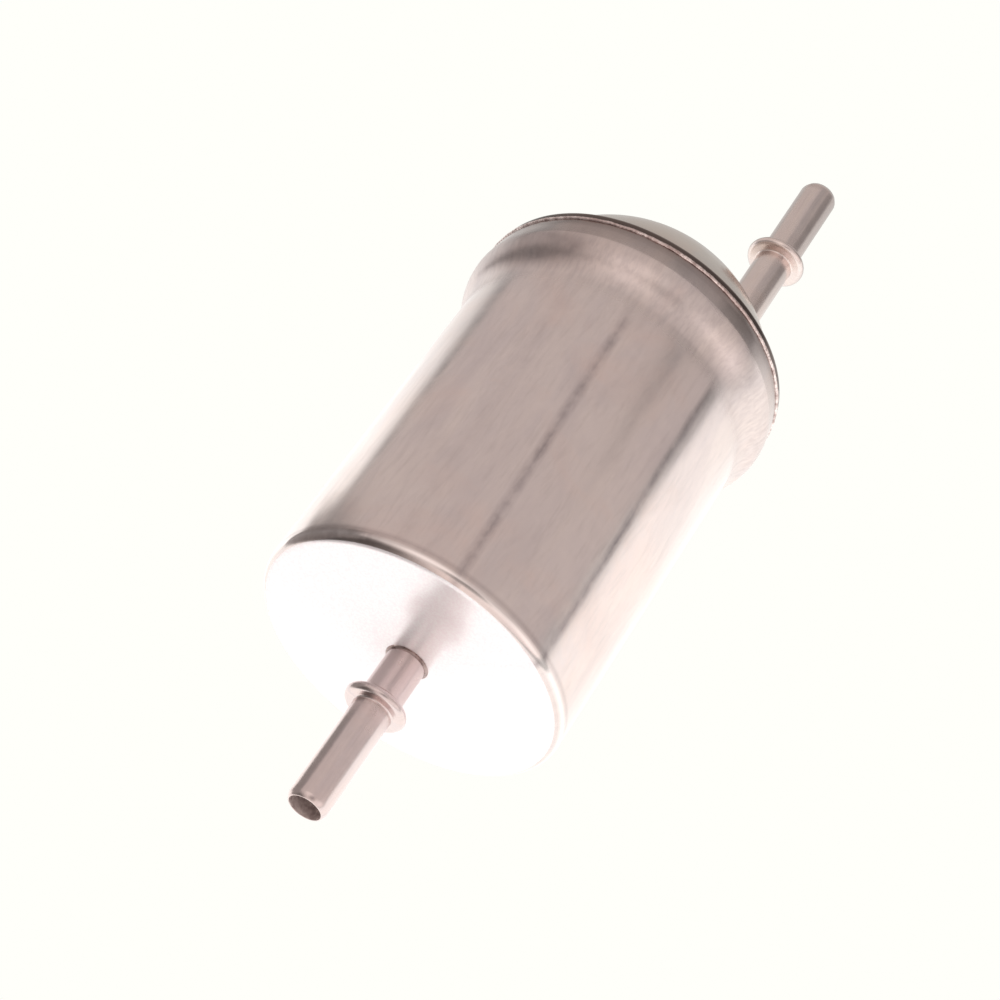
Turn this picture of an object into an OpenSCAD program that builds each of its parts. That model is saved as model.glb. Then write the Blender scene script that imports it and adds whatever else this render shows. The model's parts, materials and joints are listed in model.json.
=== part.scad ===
// In-line fuel filter with a welded steel can and two quick-connect spigots.
// The can's axis lies along Y, with the inlet at -Y and the outlet at +Y.
// The origin is on the axis, in the middle of the straight wall that a bracket clamps.
// Heights along the axis are measured from the inlet face and moved into place by along_axis().

/* [Can] */
// Outside diameter of the straight wall
body_d = 63; // [62:0.5:66]
// Length of the can from its inlet face to its lip
can_length = 88.8; // [88.4:0.1:89.2]
// Sheet thickness of the can and the cover
sheet = 0.9; // [0.8:0.1:0.9]
// Outer radius of the corner round the inlet face
corner_r = 2.2; // [1.8:0.1:3]
// Largest outside diameter of the flared mouth
mouth_d = 68.4; // [68:0.2:69]
// Outside diameter of the lip, where the mouth leans back in
lip_d = 67; // [66.8:0.1:67.2]
// Height at which the wall starts to flare
flare_start = 75; // [74:0.5:76]
// Length of the flare
flare_length = 9; // [8:0.5:9.5]

/* [Cover] */
// Radius of the spherical dome
dome_r = 32.2; // [32:0.1:32.3]
// Height of the dome's centre above the inlet face
dome_centre = 81.1; // [81:0.1:81.3]
// Outside diameter of the welded rim
rim_d = 66.8; // [66.6:0.1:67]
// Thickness of the gap that the seam weld fills
weld_gap = 0.8; // [0.6:0.1:1]

/* [Spigots] */
// Tube diameter of a 5/16 inch quick-connect spigot
tube_d = 7.94; // [7.9:0.01:8]
// Diameter of the bore
bore_d = 6.4; // [6:0.1:6.6]
// Diameter of the retaining bead
bead_d = 12.6; // [12:0.1:13]
// Width of the retaining bead
bead_width = 2; // [1.8:0.1:2.4]
// Distance from the inlet face to the middle of the inlet bead
inlet_neck = 11.4; // [10:0.2:14]
// Distance from the middle of the inlet bead to the tip
inlet_reach = 24.4; // [22:0.2:25]
// Height of the outlet bead's middle above the inlet face
outlet_bead = 126.8; // [125:0.2:130]
// Distance from the middle of the outlet bead to the tip
outlet_reach = 22.8; // [22:0.2:25]
// Distance of the outlet spigot from the can's axis
outlet_offset = 16.3; // [15:0.1:17]

/* [Element] */
// Number of pleats in the paper
pleats = 36; // [30:1:40]
// Thickness of the paper
paper = 0.4; // [0.3:0.05:0.45]
// Outer radius of the pleats
pleat_outer = 25.5; // [24:0.5:26]
// Inner radius of the pleats
pleat_inner = 9.4; // [9.2:0.1:10]
// Height of the element's lower end cap
element_start = 8.2; // [7.6:0.2:9]
// Height at which the pleats end
pleat_end = 72; // [70:0.5:72.5]

/* [Hidden] */
$fn = 96;

body_r = body_d / 2;
mouth_r = mouth_d / 2;
lip_r = lip_d / 2;
rim_r = rim_d / 2;
tube_r = tube_d / 2;
bore_r = bore_d / 2;
bead_r = bead_d / 2;
clamp_middle = (corner_r + flare_start) / 2;

// The flare is two equal arcs that turn outward and back.
flare_step = mouth_r - body_r;
flare_end = flare_start + flare_length;
flare_angle = 2 * atan(flare_step / flare_length);
flare_r = flare_length / (2 * sin(flare_angle));

// Above the flare the mouth bends inward and leans straight to its lip.
mouth_lean = atan((mouth_r - lip_r) / (can_length - flare_end));
crease_r = 2.5;

// The rim stands on the weld, and a fillet joins it to the dome.
rim_base = can_length + weld_gap;
rim_top = rim_base + 1.5;
rim_edge_r = 0.55;
dome_fillet = 1.2;
fillet_height = rim_top + dome_fillet;
fillet_angle = asin((fillet_height - dome_centre) / (dome_r + dome_fillet));
fillet_radius = (dome_r + dome_fillet) * cos(fillet_angle);
skirt_gap = 0.1;
skirt_r = lip_r - sheet - skirt_gap;

// The gasket sits where the inside of the flare narrows to its own radius.
plate = 0.8;
seat_gap = 0.05;
seat_drop = sqrt(pow(flare_r - sheet, 2) - pow(skirt_r - mouth_r + flare_r, 2));
gasket_base = flare_end - seat_drop + seat_gap;
gasket_top = gasket_base + 1.2;
skirt_base = gasket_top + plate;
plate_dish = 78;
plate_hole = 9.2;

// The filter element.
tin = 0.6;
bond = 2;
cap_r = 27;
pleat_start = element_start + tin + bond;
neck_r = 7;
neck_top = 82;
centre_tube_r = pleat_inner - 0.2;
strainer_r = 7.9;

function arc(centre, r, from, to, steps = 10) = [
    for (i = [0:steps])
        let (a = from + (to - from) * i / steps)
            [centre[0] + r * cos(a), centre[1] + r * sin(a)]
];
function reversed(list) = [for (i = [len(list) - 1:-1:0]) list[i]];
function polar(r, a) = [r * cos(a), r * sin(a)];

module along_axis() {
    translate([0, -clamp_middle, 0]) rotate([-90, 0, 0]) children();
}
module ring(inner, outer, low, high) {
    rotate_extrude() translate([inner, low]) square([outer - inner, high - low]);
}
module turned(points) {
    rotate_extrude() polygon(points);
}

// Outline of the can's wall, moved inward by depth.
function can_line(depth) = concat(
    [[tube_r, depth]],
    arc([body_r - corner_r, corner_r], corner_r - depth, -90, 0),
    arc([body_r + flare_r, flare_start], flare_r + depth, 180, 180 - flare_angle),
    arc([mouth_r - flare_r, flare_end], flare_r - depth, -flare_angle, 0),
    arc([mouth_r - crease_r, flare_end], crease_r - depth, 1, mouth_lean, 2),
    [[lip_r - depth / cos(mouth_lean), can_length]]
);
module can_shell() {
    color([0.74, 0.70, 0.68]) along_axis()
        turned(concat(can_line(0), reversed(can_line(sheet))));
}

// Outline of the dome and its fillet, moved inward by depth.
function dome_line(depth) = concat(
    arc([fillet_radius, fillet_height], dome_fillet + depth, 270, 180 + fillet_angle, 6),
    arc([0, dome_centre], dome_r - depth, fillet_angle, 90, 24)
);
module rear_cover() {
    rim = concat(
        [[skirt_r, rim_base], [rim_r, rim_base]],
        arc([rim_r - rim_edge_r, rim_top - rim_edge_r], rim_edge_r, 0, 90, 4)
    );
    skirt = [
        [skirt_r - sheet, rim_top - sheet],
        [skirt_r - sheet, skirt_base],
        [skirt_r, skirt_base]
    ];
    color([0.72, 0.68, 0.66]) along_axis() difference() {
        turned(concat(rim, dome_line(0), reversed(dome_line(sheet)), skirt));
        translate([outlet_offset, 0, dome_centre]) cylinder(r = tube_r, h = 2 * dome_r);
    }
}

// Butt weld between the can's lip and the cover's rim, with a low bead outside.
module seam_weld() {
    bead_inset = 0.12;
    root_inset = 0.2;
    color([0.62, 0.55, 0.53]) along_axis() rotate_extrude() {
        translate([skirt_r, can_length]) square([lip_r - root_inset - skirt_r, weld_gap]);
        translate([lip_r - bead_inset, can_length + weld_gap / 2]) circle(r = weld_gap / 2);
    }
}

// Quick-connect spigot on the Z axis: root at the bottom, then the bead, and the tip at the top.
module spigot(root, bead_middle, tip) {
    chamfer = 0.5;
    lead_in = 1;
    bead_round = bead_width / 2;
    bead_low = bead_middle - bead_round;
    outside = concat(
        [[bore_r, root], [tube_r, root], [tube_r, bead_low]],
        arc([bead_r - bead_round, bead_low + bead_round], bead_round, -90, 90),
        [[tube_r, bead_low + bead_width], [tube_r, tip - lead_in], [tube_r - chamfer, tip], [bore_r, tip]]
    );
    turned(outside);
}
module inlet_spigot() {
    color([0.70, 0.63, 0.61]) along_axis()
        mirror([0, 0, 1]) spigot(-2.5, inlet_neck, inlet_neck + inlet_reach);
}
module outlet_spigot() {
    color([0.68, 0.61, 0.60]) along_axis()
        translate([outlet_offset, 0, 0]) spigot(104.5, outlet_bead, outlet_bead + outlet_reach);
}

// Small hollow fillet of braze between the inlet face and its tube.
module inlet_braze() {
    fillet = 0.6;
    color([0.66, 0.58, 0.55]) along_axis() mirror([0, 0, 1])
        turned(concat([[tube_r, 0]], arc([tube_r + fillet, fillet], fillet, 270, 180, 6)));
}

// Collar of braze that follows the dome round the outlet tube, in three falling steps.
module outlet_braze() {
    color([0.66, 0.58, 0.55]) along_axis() difference() {
        for (step = [0:2])
            intersection() {
                translate([0, 0, dome_centre]) sphere(r = dome_r + 0.5 * (step + 1));
                translate([outlet_offset, 0, dome_centre])
                    cylinder(r = tube_r + 1.5 - 0.45 * step, h = 2 * dome_r);
            }
        translate([0, 0, dome_centre]) sphere(r = dome_r);
        translate([outlet_offset, 0, dome_centre]) cylinder(r = tube_r, h = 2 * dome_r);
    }
}

// Three-legged leaf spring that holds the element against the support plate.
module element_spring() {
    leg = [
        [6, element_start - tin], [9, element_start - tin], [20, sheet], [23, sheet],
        [23, sheet + tin], [20.4, sheet + tin], [9.4, element_start], [6, element_start]
    ];
    leg_width = 7;
    color([0.6, 0.6, 0.62]) along_axis() {
        ring(5, 9, element_start - tin, element_start);
        for (a = [90, 210, 330])
            rotate([0, 0, a]) rotate([90, 0, 0])
                translate([0, 0, -leg_width / 2]) linear_extrude(leg_width) polygon(leg);
    }
}

module inlet_end_cap() {
    color([0.78, 0.77, 0.72]) along_axis() difference() {
        translate([0, 0, element_start]) cylinder(r = cap_r, h = 4);
        translate([0, 0, element_start + tin]) cylinder(r = cap_r - tin, h = 4);
    }
}
module inlet_end_bond() {
    color([0.25, 0.35, 0.30]) along_axis()
        translate([0, 0, element_start + tin]) cylinder(r = cap_r - tin, h = bond);
}

// The paper runs out and back between two radii; wall k stands at k times the pitch.
module filter_paper() {
    pitch = 180 / pleats;
    outer_half = asin(paper / 2 / pleat_outer);
    inner_half = asin(paper / 2 / pleat_inner);
    outside = [
        for (k = [0:pleats - 1])
            let (a = 2 * k * pitch)
                each [
                    polar(pleat_outer, a - outer_half),
                    polar(pleat_outer, a + pitch + outer_half),
                    polar(pleat_inner + paper, a + pitch + inner_half),
                    polar(pleat_inner + paper, a + 2 * pitch - inner_half)
                ]
    ];
    inside = [
        for (k = [0:pleats - 1])
            let (a = 2 * k * pitch)
                each [
                    polar(pleat_outer - paper, a + outer_half),
                    polar(pleat_outer - paper, a + pitch - outer_half),
                    polar(pleat_inner, a + pitch - inner_half),
                    polar(pleat_inner, a + 2 * pitch + inner_half)
                ]
    ];
    color([0.86, 0.74, 0.45]) along_axis() translate([0, 0, pleat_start])
        linear_extrude(pleat_end - pleat_start) difference() {
            polygon(outside);
            polygon(inside);
        }
}

// Folded strip that clips the two free edges of the paper together.
module paper_seam_clip() {
    clip_depth = 0.5;
    clip_width = 3;
    clearance = 4.2;
    color([0.75, 0.75, 0.76]) along_axis() rotate([0, 0, 90 / pleats])
        translate([pleat_outer, -clip_width / 2, pleat_start + clearance])
            cube([clip_depth, clip_width, pleat_end - pleat_start - 2 * clearance]);
}

// Two bands, one near each end cap, that hold the pleats together.
module pleat_bands() {
    band_depth = 0.4;
    band_width = 2;
    inset = 1.8;
    color([0.88, 0.86, 0.80]) along_axis()
        for (low = [pleat_start + inset, pleat_end - inset - band_width])
            ring(pleat_outer, pleat_outer + band_depth, low, low + band_width);
}

// Rolled tube with rows of flow windows.
module centre_tube() {
    rows = 7;
    row_pitch = (pleat_end - pleat_start) / rows;
    window = [2 * pleat_inner, 3, 5];
    color([0.72, 0.72, 0.74]) along_axis() difference() {
        ring(centre_tube_r - tin, centre_tube_r, pleat_start, pleat_end);
        for (row = [0:rows - 1], a = [0, 60, 120])
            rotate([0, 0, a + 30 * (row % 2)])
                translate([0, 0, pleat_start + row_pitch * (row + 0.5)]) cube(window, center = true);
    }
}

// Fine mesh sleeve that catches loose fibres.
module lint_strainer() {
    color([0.85, 0.85, 0.80]) along_axis()
        ring(strainer_r - 0.4, strainer_r, pleat_start, pleat_end);
}

module outlet_end_bond() {
    color([0.25, 0.35, 0.30]) along_axis() ring(neck_r, cap_r - tin, pleat_end, pleat_end + bond);
}
module outlet_end_cap() {
    cap_base = pleat_end + bond;
    color([0.78, 0.77, 0.72]) along_axis() turned([
        [neck_r - tin, cap_base], [cap_r - tin, cap_base], [cap_r - tin, cap_base + tin - 4],
        [cap_r, cap_base + tin - 4], [cap_r, cap_base + tin], [neck_r, cap_base + tin],
        [neck_r, neck_top], [neck_r - tin, neck_top]
    ]);
}

// Rubber bush that seals the element's neck in the support plate.
module element_grommet() {
    lip = 1.2;
    color([0.12, 0.12, 0.12]) along_axis() turned([
        [neck_r, plate_dish - 2], [plate_hole + lip, plate_dish - 2], [plate_hole + lip, plate_dish],
        [plate_hole, plate_dish], [plate_hole, plate_dish + plate], [plate_hole + lip, plate_dish + plate],
        [plate_hole + lip, plate_dish + plate + 1.5], [neck_r, plate_dish + plate + 1.5]
    ]);
}

// Dished plate between the element and the clean chamber under the dome.
module support_plate() {
    dish_r = 22;
    seat_r = 29;
    line = [[plate_hole, plate_dish], [dish_r, plate_dish], [seat_r, gasket_top], [skirt_r, gasket_top]];
    color([0.74, 0.74, 0.70]) along_axis()
        turned(concat(line, reversed([for (p = line) p + [0, plate]])));
}
module seat_gasket() {
    color([0.10, 0.10, 0.10]) along_axis() ring(30, skirt_r, gasket_base, gasket_top);
}

can_shell();
rear_cover();
seam_weld();
inlet_spigot();
inlet_braze();
outlet_spigot();
outlet_braze();
element_spring();
inlet_end_cap();
inlet_end_bond();
filter_paper();
paper_seam_clip();
pleat_bands();
centre_tube();
lint_strainer();
outlet_end_bond();
outlet_end_cap();
element_grommet();
support_plate();
seat_gasket();
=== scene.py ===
"""Fuel filter: turned and welded metal pieces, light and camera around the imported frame."""

import json
from math import asin, atan, cos, degrees, hypot, pi, radians, sin, tan, tau

import bpy
import numpy as np
from mathutils import Matrix, Vector, noise


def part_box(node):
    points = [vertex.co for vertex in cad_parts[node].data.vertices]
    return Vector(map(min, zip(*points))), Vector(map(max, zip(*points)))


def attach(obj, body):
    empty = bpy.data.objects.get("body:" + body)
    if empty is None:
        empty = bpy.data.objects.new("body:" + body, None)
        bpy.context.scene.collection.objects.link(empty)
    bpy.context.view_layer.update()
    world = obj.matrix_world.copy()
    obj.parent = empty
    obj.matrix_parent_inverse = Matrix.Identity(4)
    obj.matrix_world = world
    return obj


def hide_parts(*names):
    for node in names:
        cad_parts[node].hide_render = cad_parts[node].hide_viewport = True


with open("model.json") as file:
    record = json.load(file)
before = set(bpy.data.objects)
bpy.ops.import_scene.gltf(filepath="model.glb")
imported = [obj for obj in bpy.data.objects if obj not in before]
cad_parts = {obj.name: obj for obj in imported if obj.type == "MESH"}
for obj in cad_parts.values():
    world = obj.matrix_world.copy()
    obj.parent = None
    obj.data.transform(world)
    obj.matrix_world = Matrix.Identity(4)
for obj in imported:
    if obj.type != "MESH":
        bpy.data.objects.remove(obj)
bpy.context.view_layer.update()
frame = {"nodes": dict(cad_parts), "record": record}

MM = 0.001

# ---------------------------------------------------------------- sizes from the frame

mounts = {m["name"]: m for m in frame["record"]["mounts"]}


def mount_radius(name):
    return mounts[name]["dims"]["r_mm"] * MM


def mount_span(name):
    """Lowest and highest y of a mount's wall."""
    half = mounts[name]["dims"]["length_mm"] * MM / 2
    middle = mounts[name]["pos_m"][1]
    return middle - half, middle + half


can_low, can_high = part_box("can_shell")
cover_low, cover_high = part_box("rear_cover")
inlet_low, inlet_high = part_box("inlet_spigot")
outlet_low, outlet_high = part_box("outlet_spigot")
plate_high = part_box("support_plate")[1]

FACE = can_low.y
LIP = can_high.y
MOUTH_R = can_high.x
BODY_R = mount_radius("body_clamp")
WALL_START, FLARE_START = mount_span("body_clamp")
CORNER_R = WALL_START - FACE
TUBE_R = mount_radius("inlet_spigot")
BORE_R = mount_radius("inlet_bore")
BEAD_R = inlet_high.x
OFFSET = mounts["outlet_spigot"]["pos_m"][0]
RIM_R = cover_high.x
DOME_TOP = cover_high.y
SKIRT_LOW = cover_low.y

# Shape values shared with the CAD, in metres.
SHEET = 0.9 * MM
FLARE_LENGTH = 9 * MM
LIP_R = 33.5 * MM
DOME_R = 32.2 * MM
DOME_FILLET = 1.2 * MM
RIM_HEIGHT = 1.5 * MM
RIM_EDGE_R = 0.55 * MM
WELD_GAP = 0.8 * MM
BEAD_WIDTH = 2 * MM

DOME_CENTRE = DOME_TOP - DOME_R
RIM_BASE = LIP + WELD_GAP
RIM_TOP = RIM_BASE + RIM_HEIGHT
SKIRT_R = plate_high.x

# ---------------------------------------------------------------- mesh helpers


def arc(centre, r, start, stop, steps):
    """Points of an arc in the (radius, y) plane; angles in degrees, 0 pointing outward."""
    angles = np.radians(np.linspace(start, stop, steps + 1))
    return [(centre[0] + r * cos(a), centre[1] + r * sin(a)) for a in angles]


def refine(outline, step):
    """Adds points so that no side of the closed outline is longer than step."""
    dense = []
    for a, b in zip(outline, outline[1:] + outline[:1]):
        way = b[0] - a[0], b[1] - a[1]
        parts = max(1, int(hypot(*way) / step))
        dense += [(a[0] + way[0] * i / parts, a[1] + way[1] * i / parts) for i in range(parts)]
    return dense


def turned_rings(outline, turns, centre_x=0.0):
    """One ring of points for each point of an outline, turned about the y direction."""
    angles = np.arange(turns) * tau / turns
    return [
        np.stack([centre_x + r * np.cos(angles), np.full(turns, y), r * np.sin(angles)], axis=1)
        for r, y in outline
    ]


def mesh_from_rings(name, rings, shift=None, sharp=32):
    """Closed skin over rings of equal length; the last ring joins the first."""
    count, turns = len(rings), len(rings[0])
    points = np.concatenate(rings)
    if shift is not None:
        points = points + shift(points)
    ring = np.arange(count)[:, None]
    turn = np.arange(turns)[None, :]
    next_ring, next_turn = (ring + 1) % count, (turn + 1) % turns
    faces = np.stack(
        [
            ring * turns + turn,
            ring * turns + next_turn,
            next_ring * turns + next_turn,
            next_ring * turns + turn,
        ],
        axis=-1,
    ).reshape(-1, 4)
    mesh = bpy.data.meshes.new(name)
    mesh.from_pydata(points.tolist(), [], faces.tolist())
    if signed_volume(points, faces) < 0:
        mesh.flip_normals()
    mesh.shade_smooth()
    mesh.set_sharp_from_angle(angle=radians(sharp))
    piece = bpy.data.objects.new(name, mesh)
    bpy.context.scene.collection.objects.link(piece)
    return piece


def signed_volume(points, faces):
    """Volume inside a closed quad skin, negative when its faces point inward."""
    a, b, c, d = (points[faces[:, i]] for i in range(4))
    return float((np.cross(a, b) * c).sum() + (np.cross(a, c) * d).sum()) / 6


def fractal(points, scale, seed):
    """Smooth noise from -1 to 1 at each point; scale is in cycles a metre."""
    offset = Vector((seed * 7.3, seed * 3.1, seed * 5.7))
    return np.array([noise.fractal(Vector(p) * scale + offset, 1.0, 2.0, 3) for p in points])


def dented(depth, scale, seed):
    """Pushes points in and out from the y axis by a slow noise."""

    def shift(points):
        outward = points * np.array([1.0, 0.0, 1.0])
        length = np.linalg.norm(outward, axis=1, keepdims=True)
        push = depth * fractal(points, scale, seed) - depth
        return outward / np.maximum(length, 1e-6) * push[:, None]

    return shift


def finish_piece(piece, material, slot, *nodes):
    """Gives a piece its material, hangs it on the root body and hides the nodes of the frame it
    replaces.
    """
    piece.data.materials.append(material)
    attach(piece, "root")
    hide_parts(*nodes)


# ---------------------------------------------------------------- material helpers


class Nodes:
    """Short calls that fill an empty node tree."""

    def __init__(self, tree):
        self.tree = tree
        tree.nodes.clear()

    def node(self, kind, inputs=(), **settings):
        made = self.tree.nodes.new(kind)
        for key, value in settings.items():
            setattr(made, key, value)
        for key, value in dict(inputs).items():
            self.feed(made.inputs[key], value)
        return made

    def feed(self, socket, value):
        if isinstance(value, bpy.types.NodeSocket):
            self.tree.links.new(value, socket)
        else:
            socket.default_value = value

    def math(self, operation, a, b=0.0, clamp=False):
        made = self.node("ShaderNodeMath", operation=operation, use_clamp=clamp)
        self.feed(made.inputs[0], a)
        self.feed(made.inputs[1], b)
        return made.outputs[0]

    def add(self, a, b):
        return self.math("ADD", a, b)

    def sub(self, a, b, clamp=False):
        return self.math("SUBTRACT", a, b, clamp)

    def mul(self, a, b, clamp=False):
        return self.math("MULTIPLY", a, b, clamp)

    def div(self, a, b, clamp=False):
        return self.math("DIVIDE", a, b, clamp)

    def split(self, vector):
        return self.node("ShaderNodeSeparateXYZ", {"Vector": vector}).outputs

    def join(self, x, y, z):
        return self.node("ShaderNodeCombineXYZ", {"X": x, "Y": y, "Z": z}).outputs[0]

    def place(self):
        return self.node("ShaderNodeTexCoord").outputs["Object"]

    def scaled(self, vector, factors):
        made = self.node("ShaderNodeVectorMath", operation="MULTIPLY")
        self.feed(made.inputs[0], vector)
        made.inputs[1].default_value = factors
        return made.outputs[0]

    def noise(self, vector, scale, detail=3.0, roughness=0.55, distortion=0.0):
        made = self.node(
            "ShaderNodeTexNoise",
            {
                "Vector": vector,
                "Scale": scale,
                "Detail": detail,
                "Roughness": roughness,
                "Distortion": distortion,
            },
        )
        return made.outputs["Fac"]

    def ramp(self, value, *stops):
        """Maps value through (position, level) stops to a level."""
        made = self.node("ShaderNodeValToRGB")
        elements = made.color_ramp.elements
        while len(elements) < len(stops):
            elements.new(0.5)
        for element, (position, level) in zip(elements, stops):
            element.position = position
            colour = level if isinstance(level, tuple) else (level, level, level)
            element.color = (*colour, 1)
        self.feed(made.inputs[0], value)
        return made.outputs[0]

    def mix(self, factor, a, b, blend="MIX"):
        made = self.node("ShaderNodeMix", data_type="RGBA", blend_type=blend)
        for socket, value in ((made.inputs[0], factor), (made.inputs[6], a), (made.inputs[7], b)):
            self.feed(socket, (*value, 1) if isinstance(value, tuple) else value)
        return made.outputs[2]

    def bump(self, height, strength, distance):
        inputs = {"Height": height, "Strength": strength, "Distance": distance}
        return self.node("ShaderNodeBump", inputs).outputs[0]


class Shader(Nodes):
    """Nodes of one principled material."""

    def __init__(self, name):
        self.material = bpy.data.materials.new(name)
        self.material.use_nodes = True
        super().__init__(self.material.node_tree)
        output = self.node("ShaderNodeOutputMaterial")
        self.surface = self.node("ShaderNodeBsdfPrincipled")
        self.tree.links.new(self.surface.outputs[0], output.inputs[0])

    def set(self, **values):
        for key, value in values.items():
            self.feed(self.surface.inputs[key.replace("_", " ")], value)


def ramp_up(s, value, start, stop):
    """0 below start, 1 above stop."""
    return s.div(s.sub(value, start), stop - start, clamp=True)


def band(s, value, middle, half_width):
    """1 at middle, falling to 0 at half_width either side."""
    away = s.math("ABSOLUTE", s.sub(value, middle))
    return s.sub(1.0, s.div(away, half_width), clamp=True)


def from_axis(s, at, axis_x):
    """Distance from the line along y at axis_x, and x from that line."""
    across = s.sub(at[0], axis_x)
    return s.math("SQRT", s.add(s.mul(across, across), s.mul(at[2], at[2]))), across


# Fine scratches: tilt in radians from the axis, and noise cycles a metre along x, y and z.
HAIR_TILT = 0.2
HAIR_CYCLES = (1900.0, 55.0, 260.0)


def steel(name, base, rough, marks, axis_x=0.0, streak=0.35, relief=0.2, spun=False):
    """Satin steel with soft lines along y, or round it where spun, smudges and fine scratches.

    marks adds what only this piece has: it takes and returns the colour and the roughness.
    """
    s = Shader(name)
    place = s.place()
    at = s.split(place)
    y, z = at[1], at[2]
    reach, across = from_axis(s, at, axis_x)
    off_axis = s.math("MAXIMUM", reach, 0.5 * MM)
    around_x, around_z = s.div(across, off_axis), s.div(z, off_axis)
    if spun:
        slow = s.mul(s.add(around_x, around_z), 0.3)
        drawn = s.join(s.mul(reach, 60.0), s.mul(y, 60.0), slow)
    else:
        drawn = s.join(around_x, s.mul(y, 5.0), around_z)
    fine = s.noise(drawn, 26.0, 5.0, 0.7)
    broad = s.noise(drawn, 3.2, 4.0, 0.6, 0.3)
    smudge = s.noise(place, 48.0, 5.0, 0.6, 0.6)
    mottle = s.noise(place, 330.0, 4.0, 0.65)
    grain = s.noise(place, 2600.0, 2.0)
    tilt = {"Vector": place, "Angle": HAIR_TILT}
    tilted = s.node("ShaderNodeVectorRotate", tilt, rotation_type="Z_AXIS").outputs[0]
    hair = s.noise(s.scaled(tilted, HAIR_CYCLES), 1.0, 2.0, 0.5, 0.4)
    scratches = s.ramp(hair, (0.69, 0.0), (0.76, 1.0))

    dark = tuple(0.66 * c for c in base)
    light = tuple(min(1.0, 1.09 * c) for c in base)
    pink = (base[0] * 1.03, base[1] * 0.97, base[2] * 0.95)
    cool = (base[0] * 0.94, base[1] * 0.95, base[2] * 0.98)
    colour = s.mix(s.ramp(broad, (0.38, 0.0), (0.66, 1.0)), cool, base)
    colour = s.mix(s.ramp(smudge, (0.50, 0.0), (0.70, 0.8)), colour, pink)
    colour = s.mix(s.ramp(mottle, (0.45, 0.0), (0.75, 0.35)), colour, light)
    colour = s.mix(s.mul(s.ramp(fine, (0.30, 1.0), (0.50, 0.0)), streak), colour, dark)
    colour = s.mix(s.mul(scratches, 0.15), colour, light)

    roughness = s.add(s.mul(s.sub(smudge, 0.5), 0.20), rough)
    roughness = s.add(roughness, s.mul(s.sub(mottle, 0.5), 0.12))
    height = s.add(s.mul(fine, 0.12), s.mul(grain, 0.30))
    height = s.add(height, s.mul(mottle, 0.55))
    height = s.sub(height, s.mul(scratches, 0.12))
    s.set(Metallic=1.0)
    colour, roughness = marks(s, at, colour, roughness)
    s.set(Base_Color=colour, Roughness=roughness, Normal=s.bump(height, relief, 0.05 * MM))
    return s.material


# ---------------------------------------------------------------- can

flare_end = FLARE_START + FLARE_LENGTH
flare_step = MOUTH_R - BODY_R
flare_turn = 2 * atan(flare_step / FLARE_LENGTH)
flare_r = FLARE_LENGTH / (2 * sin(flare_turn))
mouth_lean = atan((MOUTH_R - LIP_R) / (LIP - flare_end))
CREASE_R = 2.5 * MM
LIP_EASE = 0.2 * MM


def can_line(depth):
    """Outline of the can's wall, depth in from its outside."""
    turn, lean = degrees(flare_turn), degrees(mouth_lean)
    crease = (MOUTH_R - CREASE_R, flare_end)
    end_r = LIP_R - depth / cos(mouth_lean)
    return (
        [(TUBE_R, FACE + depth)]
        + arc((BODY_R - CORNER_R, FACE + CORNER_R), CORNER_R - depth, -90, 0, 16)
        + arc((BODY_R + flare_r, FLARE_START), flare_r + depth, 180, 180 - turn, 14)
        + arc((MOUTH_R - flare_r, flare_end), flare_r - depth, -turn, 0, 14)
        + arc(crease, CREASE_R - depth, 1, lean, 3)
        + [(end_r + LIP_EASE * tan(mouth_lean), LIP - LIP_EASE)]
    )


lip_outer, lip_inner = can_line(0)[-1], can_line(SHEET)[-1]
lip_edge = [
    (lip_outer[0] - 0.05 * MM, LIP - 0.08 * MM),
    (lip_outer[0] - 0.18 * MM, LIP),
    (lip_inner[0] + 0.18 * MM, LIP),
]
can_outline = refine(can_line(0) + lip_edge + can_line(SHEET)[::-1], 1.4 * MM)

# Painted dark reflections, lines along the wall for dark things the steel mirrors: angle and half width
# in degrees, strength, noise seed.
REFLECTION_LINES = (
    (72.8, 2.6, 0.80, 1.0),
    (33.0, 2.2, 0.85, 2.0),
    (96.0, 5.0, 0.16, 3.0),
)
# Colour of the painted dark reflection lines along the wall.
REFLECTION_LINE_DARK = (0.24, 0.20, 0.21)
HAZE_GREY = (0.40, 0.35, 0.37)
# Near white on the flat end: a painted reflection of the bright floor.
PALE_REFLECTION_LOW, PALE_REFLECTION_HIGH = (0.95, 0.86, 0.90), (1.0, 0.98, 0.99)
# Brighter band on the bend: wear and a painted highlight.
WEAR_AND_HIGHLIGHT_BRIGHT = (0.94, 0.87, 0.85)
# Dark on the bend: dirt, a painted shade line and a painted dark reflection.
DIRT_AND_SHADE_DARK = (0.16, 0.12, 0.12)
FIBRE_GREY = (0.44, 0.38, 0.38)
HEAT_TINT = (0.16, 0.11, 0.10)
# Darker cloudy patch high on the -x side of the shoulder.
SHOULDER_PATCH_DARK = (0.22, 0.18, 0.18)


def drawn_down(s, at, share):
    """Place squeezed along y, so that noise in it runs in lines down the wall."""
    x, y, z = at
    return s.join(x, s.mul(y, share), z)


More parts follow.
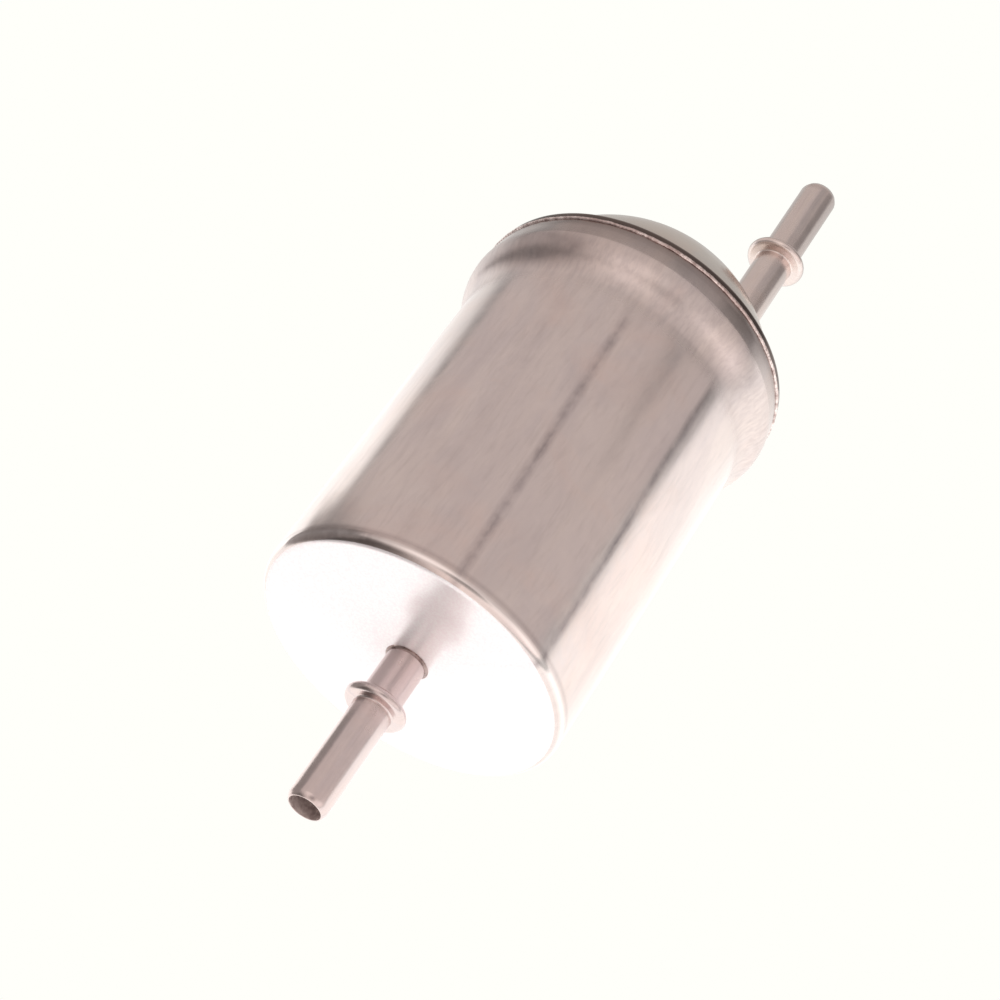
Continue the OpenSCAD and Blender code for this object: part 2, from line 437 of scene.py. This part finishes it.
def painted_reflection_lines(s, at, angle, colour):
    """Painted dark reflections: broken lines along the wall, which fade before the flare."""
    y = at[1]
    sway = s.mul(s.sub(s.noise(s.join(0.0, y, 0.0), 35.0, 2.0), 0.5), 0.016)
    drift = s.add(s.sub(angle, y), sway)
    broken_up = s.ramp(s.noise(drawn_down(s, at, 0.4), 700.0, 4.0, 0.7), (0.30, 0.45), (0.60, 1.0))
    fade = ramp_up(s, y, FLARE_START + 1 * MM, FLARE_START - 9 * MM)
    for middle, half_width, strength, seed in REFLECTION_LINES:
        patchy = s.ramp(s.noise(s.join(0.0, y, seed), 75.0, 3.0, 0.7), (0.34, 0.35), (0.62, 1.0))
        line = s.mul(band(s, drift, radians(middle), radians(half_width)), patchy)
        line = s.mul(s.mul(line, broken_up), fade)
        # Painted dark reflection: each line darkens the wall's colour.
        colour = s.mix(s.mul(line, strength), colour, REFLECTION_LINE_DARK)
    return colour


def flat_end_marks(s, at, colour, roughness):
    """Pale, less metallic flat end, a painted reflection of the bright floor: it scatters light that
    bare steel would mirror.
    """
    face = s.math("LESS_THAN", at[1], FACE + 0.25 * MM)
    speck = s.ramp(s.noise(s.join(*at), 2400.0, 3.0, 0.7), (0.40, 0.0), (0.60, 1.0))
    # Painted reflection: the flat end turns pale and less metallic.
    pale_reflection = s.mix(speck, PALE_REFLECTION_LOW, PALE_REFLECTION_HIGH)
    s.set(Metallic=s.sub(1.0, s.mul(face, 0.55)))
    return s.mix(s.mul(face, 0.9), colour, pale_reflection), s.add(roughness, s.mul(face, 0.02))


def corner_marks(s, at, angle, colour, roughness):
    """Bend brighter and glossier, partly wear and partly a painted highlight line; a painted shade line
    behind it; and dark patches over part of its way round, partly dirt and partly a painted dark
    reflection.
    """
    y = at[1]
    # Painted highlight along the bend, with real wear: a brighter, glossier band.
    wear_and_highlight = band(s, y, FACE + 1.35 * MM, 0.75 * MM)
    colour = s.mix(s.mul(wear_and_highlight, 0.8), colour, WEAR_AND_HIGHLIGHT_BRIGHT)
    roughness = s.sub(roughness, s.mul(wear_and_highlight, 0.07))
    # Painted shade: a thin dark line where the bend meets the wall.
    painted_shade_line = band(s, y, FACE + 2.7 * MM, 0.8 * MM)
    colour = s.mix(s.mul(painted_shade_line, 0.22), colour, DIRT_AND_SHADE_DARK)
    # Dark patches on the bend over part of its way round: partly dirt, partly a painted dark reflection.
    bend = s.ramp(s.div(s.sub(y, FACE), 3 * MM), (0.06, 0.0), (0.14, 1.0), (0.70, 0.8), (1.0, 0.0))
    starts = ramp_up(s, angle, radians(94), radians(103))
    ends = ramp_up(s, angle, radians(140), radians(128))
    patches = s.ramp(s.noise(s.join(*at), 420.0, 4.0, 0.6), (0.35, 0.6), (0.60, 1.0))
    dirt_and_dark_reflection = s.mul(s.mul(bend, s.mul(starts, ends)), patches)
    return s.mix(s.mul(dirt_and_dark_reflection, 0.50), colour, DIRT_AND_SHADE_DARK), roughness


def shoulder_marks(s, at, angle, colour, roughness):
    """Rougher worked flare with fine lines, heat tint beside the weld and a darker cloudy patch high on
    the -x side.
    """
    y = at[1]
    worked = s.mul(band(s, y, LIP - 10 * MM, 7 * MM), 2.2, clamp=True)
    lines = s.noise(drawn_down(s, at, 0.10), 1300.0, 3.0, 0.6)
    fibre = s.mul(worked, s.ramp(lines, (0.42, 0.0), (0.66, 0.30)))
    colour = s.mix(fibre, colour, FIBRE_GREY)
    roughness = s.add(roughness, s.mul(worked, 0.13))
    below = s.div(s.sub(LIP, y), 4.8 * MM)
    tint = s.ramp(below, (0.0, 0.85), (0.09, 0.62), (0.28, 0.44), (0.45, 0.28), (0.95, 0.10), (1.0, 0.0))
    colour = s.mix(tint, colour, HEAT_TINT)
    cloud = s.ramp(s.noise(drawn_down(s, at, 0.3), 60.0, 5.0, 0.65, 0.5), (0.36, 0.45), (0.60, 1.0))
    # Darker cloudy patch high on the -x side of the shoulder.
    dark_patch = s.mul(band(s, y, LIP - 8.0 * MM, 5.5 * MM), band(s, angle, radians(122), radians(34)))
    dark_patch = s.mul(s.mul(dark_patch, 2.2, clamp=True), cloud)
    return s.mix(s.mul(dark_patch, 0.64), colour, SHOULDER_PATCH_DARK), roughness


def can_marks(s, at, colour, roughness):
    """Marks on the can: painted dark reflections along the wall, handling haze, the flat end's painted
    reflection, wear with a painted highlight, painted shade and dirt on the bend, heat tint and a dark
    cloudy patch.
    """
    angle = s.math("ARCTAN2", at[2], at[0])
    colour = painted_reflection_lines(s, at, angle, colour)
    haze = s.ramp(s.noise(drawn_down(s, at, 0.3), 75.0, 5.0, 0.6, 0.8), (0.46, 0.0), (0.66, 0.22))
    colour = s.mix(haze, colour, HAZE_GREY)
    colour, roughness = flat_end_marks(s, at, colour, roughness)
    colour, roughness = corner_marks(s, at, angle, colour, roughness)
    return shoulder_marks(s, at, angle, colour, roughness)


can = mesh_from_rings("can", turned_rings(can_outline, 360), dented(0.02 * MM, 55, 3))
can_steel = steel("can_steel", (0.72, 0.63, 0.60), 0.20, streak=0.22, marks=can_marks)
finish_piece(can, can_steel, "can_steel", "can_shell")

# ---------------------------------------------------------------- cover

fillet_height = RIM_TOP + DOME_FILLET
fillet_turn = asin((fillet_height - DOME_CENTRE) / (DOME_R + DOME_FILLET))
fillet_x = (DOME_R + DOME_FILLET) * cos(fillet_turn)
COVER_TURNS = 288


def dome_rings(radius, hole_r, steps):
    """Rings over the dome from the spigot's hole out to the fillet, spaced evenly on the sphere."""
    angles = np.arange(COVER_TURNS) * tau / COVER_TURNS
    hole = np.stack([OFFSET + hole_r * np.cos(angles), hole_r * np.sin(angles)], axis=1)
    reach = np.linalg.norm(hole, axis=1)
    hole = hole / reach[:, None] * np.arcsin(reach / radius)[:, None]
    edge = (pi / 2 - fillet_turn) * np.stack([np.cos(angles), np.sin(angles)], axis=1)
    rings = []
    for t in np.linspace(0, 1, steps):
        flat = hole * (1 - t) + edge * t
        tilt = np.maximum(np.linalg.norm(flat, axis=1), 1e-9)
        side = radius * np.sin(tilt) / tilt
        rings.append(
            np.stack([side * flat[:, 0], DOME_CENTRE + radius * np.cos(tilt), side * flat[:, 1]], axis=1)
        )
    return rings


turn = degrees(fillet_turn)
rim_outside = (
    arc((fillet_x, fillet_height), DOME_FILLET, 180 + turn, 270, 6)
    + arc((RIM_R - RIM_EDGE_R, RIM_TOP - RIM_EDGE_R), RIM_EDGE_R, 90, 0, 6)
    + [(RIM_R, RIM_BASE + 0.15 * MM), (RIM_R - 0.15 * MM, RIM_BASE), (SKIRT_R, RIM_BASE)]
)
rim_inside = [
    (SKIRT_R, SKIRT_LOW),
    (SKIRT_R - SHEET, SKIRT_LOW),
    (SKIRT_R - SHEET, RIM_TOP - SHEET - 0.3 * MM),
] + arc((fillet_x, fillet_height), DOME_FILLET + SHEET, 264, 180 + turn, 6)
cover_rings = (
    dome_rings(DOME_R, TUBE_R, 44)[:-1]
    + turned_rings(rim_outside, COVER_TURNS)
    + turned_rings(rim_inside, COVER_TURNS)
    + dome_rings(DOME_R - SHEET, TUBE_R, 30)[:-1][::-1]
)


def cover_marks(s, at, colour, roughness):
    """Scorched rim, beside the weld."""
    high = s.div(s.sub(at[1], RIM_BASE), RIM_HEIGHT)
    scorch = s.ramp(high, (0.0, 0.96), (0.55, 0.90), (0.90, 0.25), (1.0, 0.0))
    return s.mix(scorch, colour, (0.09, 0.065, 0.06)), roughness


cover = mesh_from_rings("cover", cover_rings, dented(0.015 * MM, 70, 8))
cover_steel = steel("cover_steel", (0.70, 0.62, 0.56), 0.22, streak=0.15, marks=cover_marks, spun=True)
finish_piece(cover, cover_steel, "cover_steel", "rear_cover")

# ---------------------------------------------------------------- weld

WELD_TURNS = 1440
WELD_STEPS = 20
RIPPLE = 0.9 * MM


def weld_rings():
    """Rings round a rippled bead, seated between the lip and the rim."""
    angles = np.arange(WELD_TURNS) * tau / WELD_TURNS
    length = angles * LIP_R
    circle = np.stack([np.cos(angles), np.sin(angles), np.zeros(WELD_TURNS)], axis=1)
    swell = fractal(circle, 14, 5)
    sway = fractal(circle, 9, 6)
    beat = length / RIPPLE + 0.35 * fractal(circle, 22, 7)
    scale = np.abs(np.sin(pi * beat)) ** 0.5
    half = WELD_GAP / 2 * (1.05 + 0.18 * swell)
    proud = (0.16 + 0.10 * scale + 0.07 * swell) * MM
    middle = LIP + WELD_GAP / 2 + 0.12 * MM * sway
    rings = []
    for a in np.linspace(-pi / 2, pi / 2, WELD_STEPS):
        lag = np.interp((length + 0.25 * MM * cos(a)) % (tau * LIP_R), length, proud, period=tau * LIP_R)
        r = LIP_R - 0.2 * MM + (0.2 * MM + lag) * cos(a)
        y = middle + half * sin(a)
        rings.append(np.stack([r * np.cos(angles), y, r * np.sin(angles)], axis=1))
    root = [(LIP_R - SHEET, LIP + WELD_GAP - 0.02 * MM), (LIP_R - SHEET, LIP + 0.02 * MM)]
    return rings + turned_rings(root, WELD_TURNS)


def weld_metal():
    """Bright bead with darker spots and blotches."""
    s = Shader("weld_metal")
    place = s.place()
    spot = s.noise(place, 900.0, 3.0, 0.6)
    blotch = s.noise(place, 130.0, 3.0, 0.6)
    colour = s.mix(s.ramp(spot, (0.35, 0.0), (0.65, 1.0)), (0.46, 0.35, 0.33), (0.92, 0.80, 0.77))
    colour = s.mix(s.ramp(blotch, (0.5, 0.0), (0.7, 0.7)), colour, (0.40, 0.29, 0.27))
    roughness = s.ramp(blotch, (0.3, 0.18), (0.7, 0.36))
    s.set(Base_Color=colour, Metallic=1.0, Roughness=roughness, Normal=s.bump(spot, 0.5, 0.06 * MM))
    return s.material


weld = mesh_from_rings("weld_bead", weld_rings(), sharp=60)
finish_piece(weld, weld_metal(), "weld", "seam_weld")

# ---------------------------------------------------------------- spigots

TUBE_TURNS = 160
LEAD_IN = 1 * MM
CHAMFER = 0.5 * MM
NECK_FILLET = 0.35 * MM


def spigot_outline(root, bead_side, tip):
    """Tube outline from root to tip, with the bead ending at bead_side; works in either direction."""
    way = 1 if tip > root else -1
    bead_near = bead_side - way * BEAD_WIDTH
    half = BEAD_WIDTH / 2
    f = NECK_FILLET

    def mirrored(points):
        return [(r, y * way) for r, y in points]

    near, far, end = bead_near * way, bead_side * way, tip * way
    outside = (
        [(TUBE_R, near - f)]
        + arc((TUBE_R + f, near - f), f, 180, 90, 4)
        + arc((BEAD_R - half, near + half), half, -90, 90, 14)
        + arc((TUBE_R + f, far + f), f, 270, 180, 4)
        + [
            (TUBE_R, end - LEAD_IN - 0.2 * MM),
            (TUBE_R - 0.06 * MM, end - LEAD_IN + 0.1 * MM),
            (TUBE_R - CHAMFER + 0.08 * MM, end - 0.12 * MM),
            (TUBE_R - CHAMFER - 0.05 * MM, end),
            (BORE_R + 0.06 * MM, end),
            (BORE_R, end - 0.15 * MM),
        ]
    )
    return refine([(BORE_R, root), (TUBE_R, root)] + mirrored(outside), 1.2 * MM)


def dull_bore(centre_x):
    """Marks of a spigot: its bore is plated dull, with an uneven film."""

    def marks(s, at, colour, roughness):
        inside = s.math("LESS_THAN", from_axis(s, at, centre_x)[0], BORE_R + 0.04 * MM)
        film = s.ramp(s.noise(s.join(*at), 700.0, 3.0, 0.6), (0.35, 0.0), (0.65, 1.0))
        s.set(Metallic=s.sub(1.0, s.mul(inside, 0.5)))
        colour = s.mix(inside, colour, s.mix(film, (0.42, 0.33, 0.32), (0.76, 0.66, 0.63)))
        return colour, s.add(roughness, s.mul(inside, 0.25))

    return marks


inlet_bead_side = mount_span("inlet_spigot")[1]
outlet_bead_side = mount_span("outlet_spigot")[0]
inlet_line = spigot_outline(inlet_high.y, inlet_bead_side, inlet_low.y)
outlet_line = spigot_outline(outlet_low.y, outlet_bead_side, outlet_high.y)
inlet = mesh_from_rings("inlet_tube", turned_rings(inlet_line, TUBE_TURNS))
outlet = mesh_from_rings("outlet_tube", turned_rings(outlet_line, TUBE_TURNS, OFFSET))
inlet_steel = steel("inlet_steel", (0.70, 0.60, 0.58), 0.24, relief=0.07, marks=dull_bore(0.0))
outlet_steel = steel(
    "outlet_steel", (0.80, 0.70, 0.66), 0.26, axis_x=OFFSET, relief=0.07, marks=dull_bore(OFFSET)
)
finish_piece(inlet, inlet_steel, "tube_steel", "inlet_spigot")
finish_piece(outlet, outlet_steel, "tube_steel", "outlet_spigot")

# ---------------------------------------------------------------- braze fillets

BRAZE_TURNS = 144
BRAZE_STEPS = 12
INLET_BRAZE = 0.55 * MM
OUTLET_BRAZE = 1.2 * MM


def braze_rings(size, foot, centre_x, seed):
    """Concave collar between a tube and the surface that foot(x, z) gives, with an uneven edge."""
    angles = np.arange(BRAZE_TURNS) * tau / BRAZE_TURNS
    circle = np.stack([np.cos(angles), np.sin(angles), np.zeros(BRAZE_TURNS)], axis=1)
    reach = size * (0.90 + 0.09 * fractal(circle, 1.6, seed))
    climb = size * (0.90 + 0.09 * fractal(circle, 2.1, seed + 1))
    rings = []
    for a in np.linspace(0, pi / 2, BRAZE_STEPS):
        r = TUBE_R + reach * (1 - sin(a)) + 0.003 * MM
        x, z = centre_x + r * np.cos(angles), r * np.sin(angles)
        base = foot(x, z)
        rings.append(np.stack([x, base[0] + base[1] * (climb * (1 - cos(a)) + 0.01 * MM), z], axis=1))
    inner = TUBE_R - 0.02 * MM
    x, z = centre_x + inner * np.cos(angles), inner * np.sin(angles)
    base = foot(x, z)
    rings.append(np.stack([x, rings[-1][:, 1], z], axis=1))
    rings.append(np.stack([x, base[0] - base[1] * 0.1 * MM, z], axis=1))
    outer = rings[0].copy()
    outer[:, 1] -= base[1] * 0.1 * MM
    rings.append(outer)
    return rings


def face_foot(x, z):
    """Flat end at each point, and the way it faces along y."""
    return np.full(len(x), FACE), -1


def dome_foot(x, z):
    """Dome at each point, and the way it faces along y."""
    return DOME_CENTRE + np.sqrt(DOME_R**2 - x**2 - z**2), 1


def braze_metal(name, dark, light):
    """Braze that froze in flow marks, between two colours."""
    s = Shader(name)
    place = s.place()
    flow = s.noise(place, 420.0, 4.0, 0.6, 0.5)
    grain = s.noise(place, 3000.0, 2.0)
    colour = s.mix(s.ramp(flow, (0.35, 0.0), (0.7, 1.0)), dark, light)
    roughness = s.ramp(flow, (0.3, 0.20), (0.7, 0.38))
    height = s.add(flow, s.mul(grain, 0.2))
    s.set(Base_Color=colour, Metallic=1.0, Roughness=roughness, Normal=s.bump(height, 0.4, 0.08 * MM))
    return s.material


# Two copies of one braze: the inlet's darkened as a painted shadow at the tube's root, the outlet's
# lightened as a painted highlight.
inlet_braze = braze_metal("inlet_braze_metal", (0.20, 0.14, 0.13), (0.52, 0.41, 0.39))
outlet_braze = braze_metal("outlet_braze_metal", (0.50, 0.38, 0.35), (0.86, 0.72, 0.68))
inlet_fillet = mesh_from_rings("inlet_fillet", braze_rings(INLET_BRAZE, face_foot, 0.0, 11))
outlet_fillet = mesh_from_rings("outlet_fillet", braze_rings(OUTLET_BRAZE, dome_foot, OFFSET, 14))
finish_piece(inlet_fillet, inlet_braze, "braze", "inlet_braze")
finish_piece(outlet_fillet, outlet_braze, "braze", "outlet_braze")

# ---------------------------------------------------------------- inner parts, kept from the CAD


def rolled_tin(name, base, scale):
    """Tinned or plain sheet with faint crystals; scale is in crystals a metre."""
    s = Shader(name)
    place = s.place()
    crystal = s.node("ShaderNodeTexVoronoi", {"Vector": place, "Scale": scale}).outputs["Color"]
    shade = s.node("ShaderNodeSeparateColor", {"Color": crystal}).outputs[0]
    grain = s.noise(place, 1800.0, 3.0)
    colour = s.mix(s.ramp(shade, (0.0, 0.0), (1.0, 0.35)), base, tuple(0.8 * c for c in base))
    roughness = s.ramp(grain, (0.3, 0.25), (0.7, 0.42))
    s.set(Base_Color=colour, Metallic=1.0, Roughness=roughness, Normal=s.bump(grain, 0.3, 0.03 * MM))
    return s.material


def matte(name, base, other, scale, rough, relief, stretch=(1.0, 1.0, 1.0)):
    """Dull material that drifts between two colours, with a fibrous surface."""
    s = Shader(name)
    place = s.scaled(s.place(), stretch)
    cloud = s.noise(place, scale, 5.0, 0.65)
    fibre = s.noise(place, scale * 9, 3.0, 0.6)
    colour = s.mix(s.ramp(cloud, (0.35, 0.0), (0.65, 1.0)), base, other)
    roughness = s.ramp(fibre, (0.3, rough - 0.08), (0.7, min(1.0, rough + 0.08)))
    height = s.add(s.mul(cloud, 0.4), s.mul(fibre, 0.6))
    s.set(Base_Color=colour, Metallic=0.0, Roughness=roughness, Normal=s.bump(height, 0.5, relief))
    return s.material


WEAVE_R = 8 * MM


def woven(name, base, thread):
    """Plain weave round the axis; thread is its pitch, which holds at WEAVE_R."""
    s = Shader(name)
    x, y, z = s.split(s.place())
    angle = s.math("ARCTAN2", z, x)
    warp = s.math("ABSOLUTE", s.math("SINE", s.mul(angle, WEAVE_R / thread * pi)))
    weft = s.math("ABSOLUTE", s.math("SINE", s.mul(y, pi / thread)))
    weave = s.math("MAXIMUM", warp, weft)
    fuzz = s.noise(s.place(), 1500.0, 3.0)
    dark = tuple(0.45 * c for c in base)
    colour = s.mix(s.ramp(weave, (0.55, 0.0), (0.9, 1.0)), dark, base)
    colour = s.mix(s.mul(fuzz, 0.3), colour, dark)
    roughness = s.ramp(fuzz, (0.3, 0.6), (0.7, 0.85))
    s.set(Base_Color=colour, Roughness=roughness, Normal=s.bump(weave, 0.6, 0.1 * MM))
    return s.material


tinplate = rolled_tin("tinplate", (0.76, 0.76, 0.72), 260.0)
potting = matte("potting", (0.13, 0.24, 0.18), (0.19, 0.31, 0.24), 180.0, 0.5, 0.2 * MM)
fuel_rubber = matte("fuel_rubber", (0.020, 0.020, 0.022), (0.045, 0.043, 0.042), 300.0, 0.62, 0.1 * MM)
inner_materials = {
    "element_spring": rolled_tin("spring_steel", (0.52, 0.52, 0.55), 700.0),
    "inlet_end_cap": tinplate,
    "outlet_end_cap": tinplate,
    "paper_seam_clip": tinplate,
    "centre_tube": tinplate,
    "support_plate": tinplate,
    "inlet_end_bond": potting,
    "outlet_end_bond": potting,
    "filter_paper": matte(
        "pleated_paper", (0.74, 0.58, 0.30), (0.82, 0.70, 0.44), 240.0, 0.85, 0.2 * MM, (1.0, 0.25, 1.0)
    ),
    "pleat_bands": woven("band_tape", (0.84, 0.82, 0.76), 0.4 * MM),
    "lint_strainer": woven("strainer_mesh", (0.82, 0.82, 0.76), 0.3 * MM),
    "element_grommet": fuel_rubber,
    "seat_gasket": fuel_rubber,
}
for node_name, material in inner_materials.items():
    held = frame["nodes"][node_name]
    for index in range(len(held.data.materials)):
        held.data.materials[index] = material

# ---------------------------------------------------------------- floor and light

FLOOR_SIDE = 6.0
PALE = (1.0, 1.0, 0.955)
POOL_LIGHT = (1.42, 1.40, 1.36)
# The pool fades over POOL_DEPTH behind the can, and from further back beyond these x.
POOL_DEPTH = 0.25
POOL_LEFT, POOL_RIGHT = -0.09, 0.05


def floor_material():
    """Pale sheet for the camera. The steel mirrors a shaded one, brightest round the can."""
    s = Shader("floor_sheet")
    x, y = s.split(s.place())[:2]
    right = s.mul(s.math("MAXIMUM", s.sub(x, POOL_RIGHT), 0.0), 0.7)
    left = s.mul(s.math("MAXIMUM", s.sub(POOL_LEFT, x), 0.0), 0.55)
    behind = s.div(s.sub(y, s.add(right, left)), POOL_DEPTH, clamp=True)
    pool = s.ramp(behind, (0.20, 1.0), (0.38, 0.75), (0.54, 0.48), (0.84, 0.42))
    front = s.math("MAXIMUM", ramp_up(s, y, -0.16, -0.125), ramp_up(s, x, -0.075, -0.015))
    for within, outside in (
        (ramp_up(s, x, -0.75, -0.22), 0.55),
        (ramp_up(s, x, 0.30, 0.23), 0.45),
        (front, 0.15),
    ):
        share = s.add(outside, s.mul(within, 1 - outside))
        pool = s.mul(pool, share)
    mirrored = s.node("ShaderNodeVectorMath", operation="SCALE")
    mirrored.inputs[0].default_value = POOL_LIGHT
    s.feed(mirrored.inputs["Scale"], pool)
    seen = s.node("ShaderNodeLightPath").outputs["Is Camera Ray"]
    s.set(Base_Color=(0.0, 0.0, 0.0, 1), Roughness=1.0, Specular_IOR_Level=0.0)
    s.set(Emission_Color=s.mix(seen, mirrored.outputs[0], PALE), Emission_Strength=1.0)
    return s.material


floor_mesh = bpy.data.meshes.new("floor")
half_side = FLOOR_SIDE / 2
floor_mesh.from_pydata(
    [(sx * half_side, sy * half_side, -MOUTH_R) for sx, sy in ((-1, -1), (1, -1), (1, 1), (-1, 1))],
    [],
    [(0, 1, 2, 3)],
)
floor_mesh.materials.append(floor_material())
floor = bpy.data.objects.new("floor", floor_mesh)
bpy.context.scene.collection.objects.link(floor)

WORLD_TINT = (0.72, 0.655, 0.625)
# Areas of the world: direction, outer and inner angle from it in degrees, strength.
WORLD_DIMS = (
    ((-0.70, -0.68, 0.20), 44, 24, 0.80),
    ((0.35, -0.50, 0.79), 20, 9, 0.80),
)
WORLD_LIGHTS = (
    ((0.00, -0.20, 0.98), 27, 11, 0.45),
    ((0.50, -0.84, 0.12), 58, 30, 0.60),
    ((1.00, -0.10, 0.00), 34, 12, 0.45),
)


def studio_world():
    """Soft grey tent, darker towards the back and in the dims, lighter in the lights."""
    world = bpy.data.worlds.new("studio")
    bpy.context.scene.world = world
    world.use_nodes = True
    s = Nodes(world.node_tree)
    output = s.node("ShaderNodeOutputWorld")
    light = s.node("ShaderNodeBackground")
    s.tree.links.new(light.outputs[0], output.inputs[0])
    way = s.node("ShaderNodeTexCoord").outputs["Generated"]
    y = s.split(way)[1]

    def lobe(direction, wide, narrow):
        """1 within the narrow angle of a direction, falling to 0 at the wide one."""
        toward = Vector(direction).normalized()
        made = s.node("ShaderNodeVectorMath", operation="DOT_PRODUCT")
        s.feed(made.inputs[0], way)
        made.inputs[1].default_value = toward
        return ramp_up(s, made.outputs["Value"], cos(radians(wide)), cos(radians(narrow)))

    level = s.ramp(y, (0.58, 1.0), (0.70, 0.86), (0.76, 0.68), (0.80, 0.60), (0.88, 0.72), (1.0, 0.80))
    for direction, wide, narrow, dimmed in WORLD_DIMS:
        shade = s.mul(lobe(direction, wide, narrow), dimmed)
        level = s.mul(level, s.sub(1.0, shade))
    for direction, wide, narrow, added in WORLD_LIGHTS:
        level = s.add(level, s.mul(lobe(direction, wide, narrow), added))
    tint = s.node("ShaderNodeVectorMath", operation="SCALE")
    tint.inputs[0].default_value = WORLD_TINT
    s.feed(tint.inputs["Scale"], level)
    s.feed(light.inputs["Color"], tint.outputs[0])
    light.inputs["Strength"].default_value = 1.0


studio_world()


def card(name, foot, head, y_span, level):
    """Grey card from foot to head (x, z). The steel mirrors it and the camera doesn't see it."""
    mesh = bpy.data.meshes.new(name)
    (x0, z0), (x1, z1), (y0, y1) = foot, head, y_span
    mesh.from_pydata([(x0, y0, z0), (x0, y1, z0), (x1, y1, z1), (x1, y0, z1)], [], [(0, 1, 2, 3)])
    s = Shader(name)
    s.set(Base_Color=(0.0, 0.0, 0.0, 1), Roughness=1.0, Specular_IOR_Level=0.0)
    s.set(Emission_Color=(1.0, 0.93, 0.90, 1), Emission_Strength=level)
    mesh.materials.append(s.material)
    made = bpy.data.objects.new(name, mesh)
    made.visible_camera = False
    bpy.context.scene.collection.objects.link(made)


card("left_card", foot=(-0.16, -MOUTH_R), head=(-0.16, 0.15), y_span=(-0.16, 0.06), level=0.34)
card("right_card", foot=(0.19, -MOUTH_R), head=(0.19, 0.12), y_span=(0.20, 0.33), level=0.27)
card("top_card", foot=(0.04, 0.20), head=(0.30, 0.20), y_span=(0.235, 0.42), level=0.42)

# ---------------------------------------------------------------- camera

AZIMUTH, ELEVATION = radians(28.4), radians(49.9)
ASIDE, ABOVE, AWAY = 17.02 * MM, 29.59 * MM, 456.08 * MM
right = Vector((cos(AZIMUTH), sin(AZIMUTH), 0))
back = Vector((sin(AZIMUTH) * cos(ELEVATION), -cos(AZIMUTH) * cos(ELEVATION), sin(ELEVATION)))
up = back.cross(right)

camera_data = bpy.data.cameras.new("camera")
camera_data.lens = 90
camera_data.sensor_width = 36
camera_data.clip_start, camera_data.clip_end = 0.01, 20
camera = bpy.data.objects.new("camera", camera_data)
turned = Matrix((right, up, back)).transposed().to_4x4()
turned.translation = Vector((0, FACE, 0)) + right * ASIDE + up * ABOVE + back * AWAY
camera.matrix_world = turned
bpy.context.scene.collection.objects.link(camera)
bpy.context.scene.camera = camera

scene_view = bpy.context.scene.view_settings
scene_view.view_transform = "Standard"
scene_view.look = "None"
